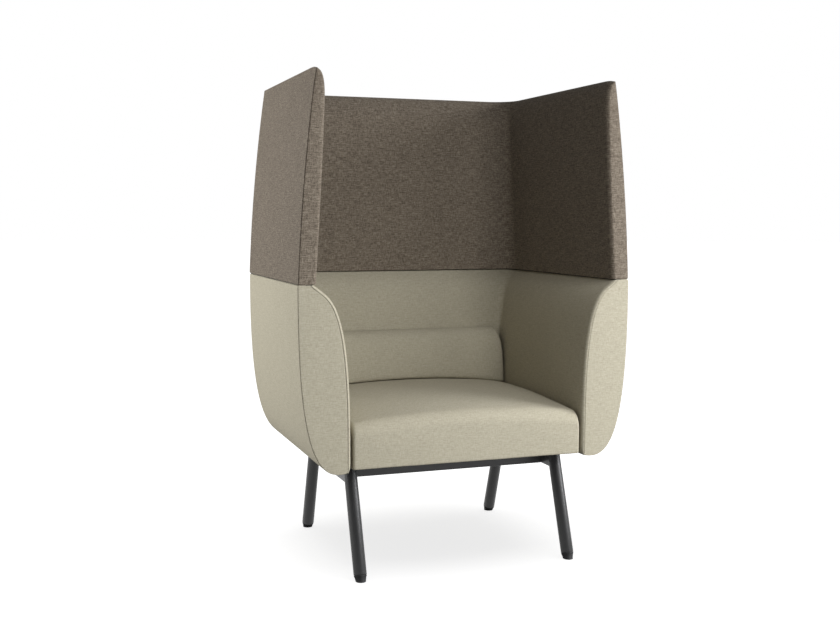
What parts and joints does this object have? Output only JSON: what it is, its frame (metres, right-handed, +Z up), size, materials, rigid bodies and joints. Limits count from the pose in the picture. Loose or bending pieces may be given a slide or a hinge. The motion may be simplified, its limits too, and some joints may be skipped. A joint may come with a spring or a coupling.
{
  "type": "lounge chair",
  "caption": "High back lounge chair with a boxed fabric shell, an acoustic screen round the head, a thick seat, a lumbar cushion and splayed steel legs",
  "frame": {"origin": "on the floor, under the middle of the overall box", "axes": "+X to the right as seen from the front, +Y to the back of the chair, +Z up"},
  "size_m": [0.9, 0.714, 1.278],
  "materials": {
    "shell_fabric": "woven melange upholstery cloth, greige",
    "screen_fabric": "woven melange upholstery cloth, brown",
    "coated_steel": "satin powder coat, near black",
    "black_plastic": "moulded, matt",
    "plywood": "moulded and flat plywood, raw",
    "timber": "planed beech, raw",
    "foam": "cut upholstery foam",
    "webbing": "elastic webbing",
    "zinc_steel": "zinc plated"
  },
  "bodies": {
    "root": {"front_left_leg": "coated_steel", "front_right_leg": "coated_steel", "rear_left_leg": "coated_steel", "rear_right_leg": "coated_steel", "front_left_glide": "black_plastic", "front_right_glide": "black_plastic", "rear_left_glide": "black_plastic", "rear_right_glide": "black_plastic", "left_side_rail": "coated_steel", "right_side_rail": "coated_steel", "front_cross_rail": "coated_steel", "rear_cross_rail": "coated_steel", "corner_plates": "coated_steel", "frame_bolts": "zinc_steel", "frame_washers": "zinc_steel", "frame_tee_nuts": "zinc_steel", "seat_board": "plywood", "seat_box_front": "plywood", "seat_box_rear": "plywood", "seat_box_left": "plywood", "seat_box_right": "plywood", "seat_webbing": "webbing", "seat_foam": "foam", "seat_cushion": "shell_fabric", "lumbar_foam": "foam", "lumbar_cushion": "shell_fabric", "left_arm_panel": "plywood", "right_arm_panel": "plywood", "left_arm_foam": "foam", "right_arm_foam": "foam", "left_arm_foot_rail": "timber", "right_arm_foot_rail": "timber", "left_arm_top_rail": "timber", "right_arm_top_rail": "timber", "left_arm_cover": "shell_fabric", "right_arm_cover": "shell_fabric", "left_arm_pad": "shell_fabric", "right_arm_pad": "shell_fabric", "left_arm_front": "shell_fabric", "right_arm_front": "shell_fabric", "back_panel": "plywood", "back_foam": "foam", "back_foot_rail": "timber", "back_top_rail": "timber", "back_cover": "shell_fabric", "back_pad": "shell_fabric", "shell_spacers": "zinc_steel", "shell_bolts": "zinc_steel", "seam_strip": "black_plastic", "screen_dowels": "zinc_steel", "left_screen_board": "plywood", "right_screen_board": "plywood", "back_screen_board": "plywood", "left_screen_cover": "screen_fabric", "right_screen_cover": "screen_fabric", "back_screen_cover": "screen_fabric"}
  },
  "joints": []
}
